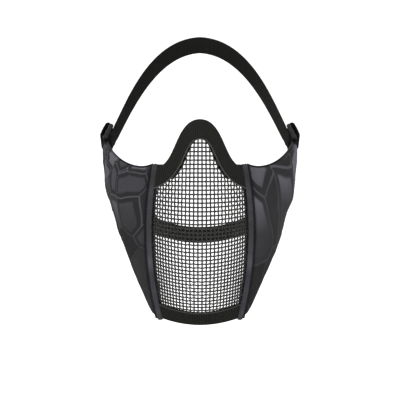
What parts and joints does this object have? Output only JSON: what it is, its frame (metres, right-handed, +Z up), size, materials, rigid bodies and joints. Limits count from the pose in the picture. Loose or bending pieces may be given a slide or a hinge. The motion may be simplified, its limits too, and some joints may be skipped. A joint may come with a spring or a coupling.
{
  "type": "face mask",
  "caption": "Half face mask with a stiff woven steel mesh front, padded camouflage fabric wings and adjustable elastic head straps held by ladder locks.",
  "frame": {"origin": "middle of the nose edge, on the inner face of the nose pad, where the mask rests on the bridge of the nose", "axes": "+X to the wearer's left, +Y back towards the head, +Z up"},
  "size_m": [0.1958, 0.1906, 0.2848],
  "materials": {
    "wire_mesh": "matt black coated steel wire, plain weave",
    "binding": "flat woven polyester webbing",
    "pad": "soft foam pad with a brushed face",
    "camo_fabric": null,
    "foam": "soft closed foam sheet",
    "lining": "brushed knit",
    "webbing": "flat woven webbing",
    "elastic": "ribbed woven elastic",
    "lock_plastic": "moulded acetal, fine texture",
    "thread": "bonded sewing thread"
  },
  "bodies": {
    "face": {"mesh_face": "wire_mesh", "nose_binding": "binding", "nose_pad": "pad", "chin_binding": "binding", "left_hem": "camo_fabric", "right_hem": "camo_fabric", "left_edge_tape": "binding", "right_edge_tape": "binding", "nose_stitching": "thread", "chin_stitching": "thread", "left_hem_stitching": "thread", "right_hem_stitching": "thread"},
    "left_wing": {"left_wing_shell": "camo_fabric", "left_wing_foam": "foam", "left_wing_lining": "lining", "left_upper_tab": "webbing", "left_lower_tab": "webbing", "left_tab_stitching": "thread"},
    "right_wing": {"right_wing_shell": "camo_fabric", "right_wing_foam": "foam", "right_wing_lining": "lining", "right_upper_tab": "webbing", "right_lower_tab": "webbing", "right_tab_stitching": "thread"},
    "left_upper_lock": {"left_upper_lock": "lock_plastic", "left_upper_strap_end": "elastic"},
    "left_lower_lock": {"left_lower_lock": "lock_plastic", "left_lower_strap_end": "elastic"},
    "right_upper_lock": {"right_upper_lock": "lock_plastic", "right_upper_strap_end": "elastic"},
    "right_lower_lock": {"right_lower_lock": "lock_plastic", "right_lower_strap_end": "elastic"},
    "upper_strap": {"upper_strap_band": "elastic", "left_upper_strap_run": "elastic", "right_upper_strap_run": "elastic"},
    "lower_strap": {"lower_strap_band": "elastic", "left_lower_strap_run": "elastic", "right_lower_strap_run": "elastic"}
  },
  "joints": [
    {"name": "left_wing_fold", "type": "hinge", "parent": "face", "child": "left_wing", "pos_m": [0.0465, 0.03685, -0.1115], "axis": [0.0191, -0.3042, 0.9524], "range_deg": [-15, 12], "stiffness_Nm_per_rad": 0.5},
    {"name": "right_wing_fold", "type": "hinge", "parent": "face", "child": "right_wing", "pos_m": [-0.0465, 0.03685, -0.1115], "axis": [0.0191, 0.3042, -0.9524], "range_deg": [-15, 12], "stiffness_Nm_per_rad": 0.5},
    {"name": "left_upper_lock_tilt", "type": "hinge", "parent": "left_wing", "child": "left_upper_lock", "pos_m": [0.09158, 0.10017, -0.01871], "axis": [0.0327, -0.7153, 0.698], "range_deg": [-20, 20]},
    {"name": "left_lower_lock_tilt", "type": "hinge", "parent": "left_wing", "child": "left_lower_lock", "pos_m": [0.08286, 0.10553, -0.07087], "axis": [0.2025, 0.3178, 0.9263], "range_deg": [-20, 20]},
    {"name": "right_upper_lock_tilt", "type": "hinge", "parent": "right_wing", "child": "right_upper_lock", "pos_m": [-0.09158, 0.10017, -0.01871], "axis": [0.0327, 0.7153, -0.698], "range_deg": [-20, 20]},
    {"name": "right_lower_lock_tilt", "type": "hinge", "parent": "right_wing", "child": "right_lower_lock", "pos_m": [-0.08286, 0.10553, -0.07087], "axis": [0.2025, -0.3178, -0.9263], "range_deg": [-20, 20]},
    {"name": "upper_strap_stretch", "type": "slide", "parent": "face", "child": "upper_strap", "axis": [0, 0.6899, 0.7239], "range_m": [0, 0.03], "stiffness_N_per_m": 200, "deforming": ["left_upper_strap_run", "right_upper_strap_run"]},
    {"name": "lower_strap_stretch", "type": "slide", "parent": "face", "child": "lower_strap", "axis": [0, 0.9539, -0.3], "range_m": [0, 0.03], "stiffness_N_per_m": 200, "deforming": ["left_lower_strap_run", "right_lower_strap_run"]}
  ]
}
